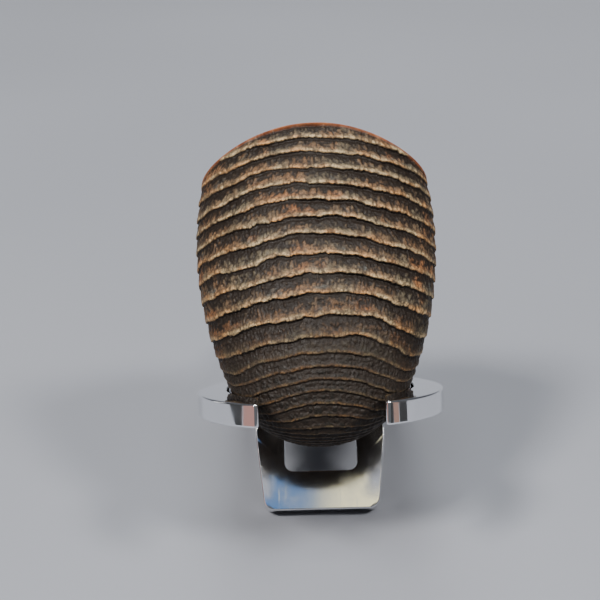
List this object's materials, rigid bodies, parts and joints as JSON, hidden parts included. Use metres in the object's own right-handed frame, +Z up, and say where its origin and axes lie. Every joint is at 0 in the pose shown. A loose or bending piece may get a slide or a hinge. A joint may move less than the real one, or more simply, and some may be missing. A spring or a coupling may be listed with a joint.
{
  "type": "tobacco pipe in a folding stand",
  "caption": "Tobacco pipe with a ring-grain sandblasted bowl, leaning back in a folding chrome pocket stand with a C-shaped cradle.",
  "frame": {"origin": "centre of the bounding box's footprint, on the table plane", "axes": "+Z up, -Y towards the open front of the cradle, +Y back along the stem, +X to the right seen from the front"},
  "size_m": [0.0408, 0.1208, 0.0671],
  "materials": {
    "chrome_plate": "polished mirror, fine scratches",
    "pin_steel": "turned steel",
    "washer_steel": "dull stamped steel",
    "chrome_leg": "polished mirror, fine scratches",
    "briar": "sandblasted ring grain, dark stain with rust and tan tones",
    "black_vulcanite": "polished black",
    "white_tenon": "smooth turned acetal",
    "filter_paper": "rolled paper",
    "filter_ceramic": "unglazed ceramic",
    "filter_plastic": "moulded",
    "charcoal": "packed granules"
  },
  "bodies": {
    "stand": {"cradle_plate": "chrome_plate", "hinge_pin": "pin_steel", "hinge_washers": "washer_steel"},
    "leg": {"prop_leg": "chrome_leg"},
    "pipe": {"pipe_bowl": "briar"},
    "stem": {"mouthpiece": "black_vulcanite", "tenon": "white_tenon"},
    "filter": {"filter_tube": "filter_paper", "filter_cap_ceramic": "filter_ceramic", "filter_cap_plastic": "filter_plastic", "filter_charcoal": "charcoal"}
  },
  "joints": [
    {"name": "leg_fold", "type": "hinge", "parent": "stand", "child": "leg", "pos_m": [0, -0.02047, 0.01858], "axis": [1, 0, 0], "range_deg": [0, 109.9]},
    {"name": "pipe_lift", "type": "slide", "parent": "stand", "child": "pipe", "axis": [0, 0.342, 0.9397], "range_m": [0, 0.06]},
    {"name": "stem_pull", "type": "slide", "parent": "pipe", "child": "stem", "axis": [0, 0.9613, -0.2756], "range_m": [0, 0.062]},
    {"name": "filter_pull", "type": "slide", "parent": "pipe", "child": "filter", "axis": [0, 0.9613, -0.2756], "range_m": [0, 0.031]}
  ],
  "couplings": [
    {"joint": "filter_pull", "follows": "stem_pull", "ratio": 0.5}
  ]
}
